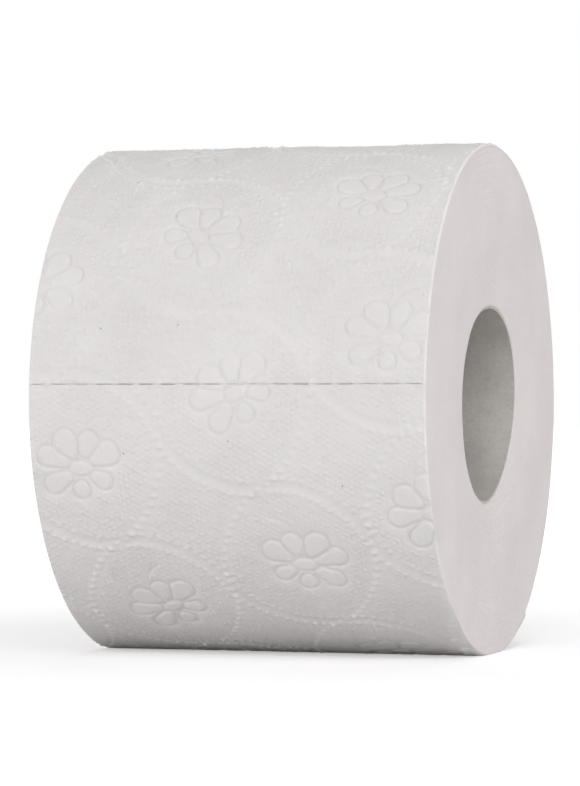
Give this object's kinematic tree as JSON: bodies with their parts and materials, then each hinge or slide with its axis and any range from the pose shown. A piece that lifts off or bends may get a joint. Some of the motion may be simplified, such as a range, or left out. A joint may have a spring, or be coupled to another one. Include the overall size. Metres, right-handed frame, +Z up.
{
  "type": "toilet paper roll",
  "caption": "Soft white embossed tissue wound on a grey board tube, lying on its side on a small flat spot, with perforation lines across the sheet.",
  "frame": {"origin": "on the axis of the core's bore, midway between the roll's two ends", "axes": "+X along the roll's axis, towards the end that the picture shows; +Y to the back; +Z up, with the flat spot below"},
  "size_m": [0.09, 0.1157, 0.1153],
  "materials": {
    "board": "matt recycled board",
    "tissue": "matt embossed tissue"
  },
  "bodies": {
    "root": {"core_tube": "board", "tissue_roll": "tissue"}
  },
  "joints": []
}
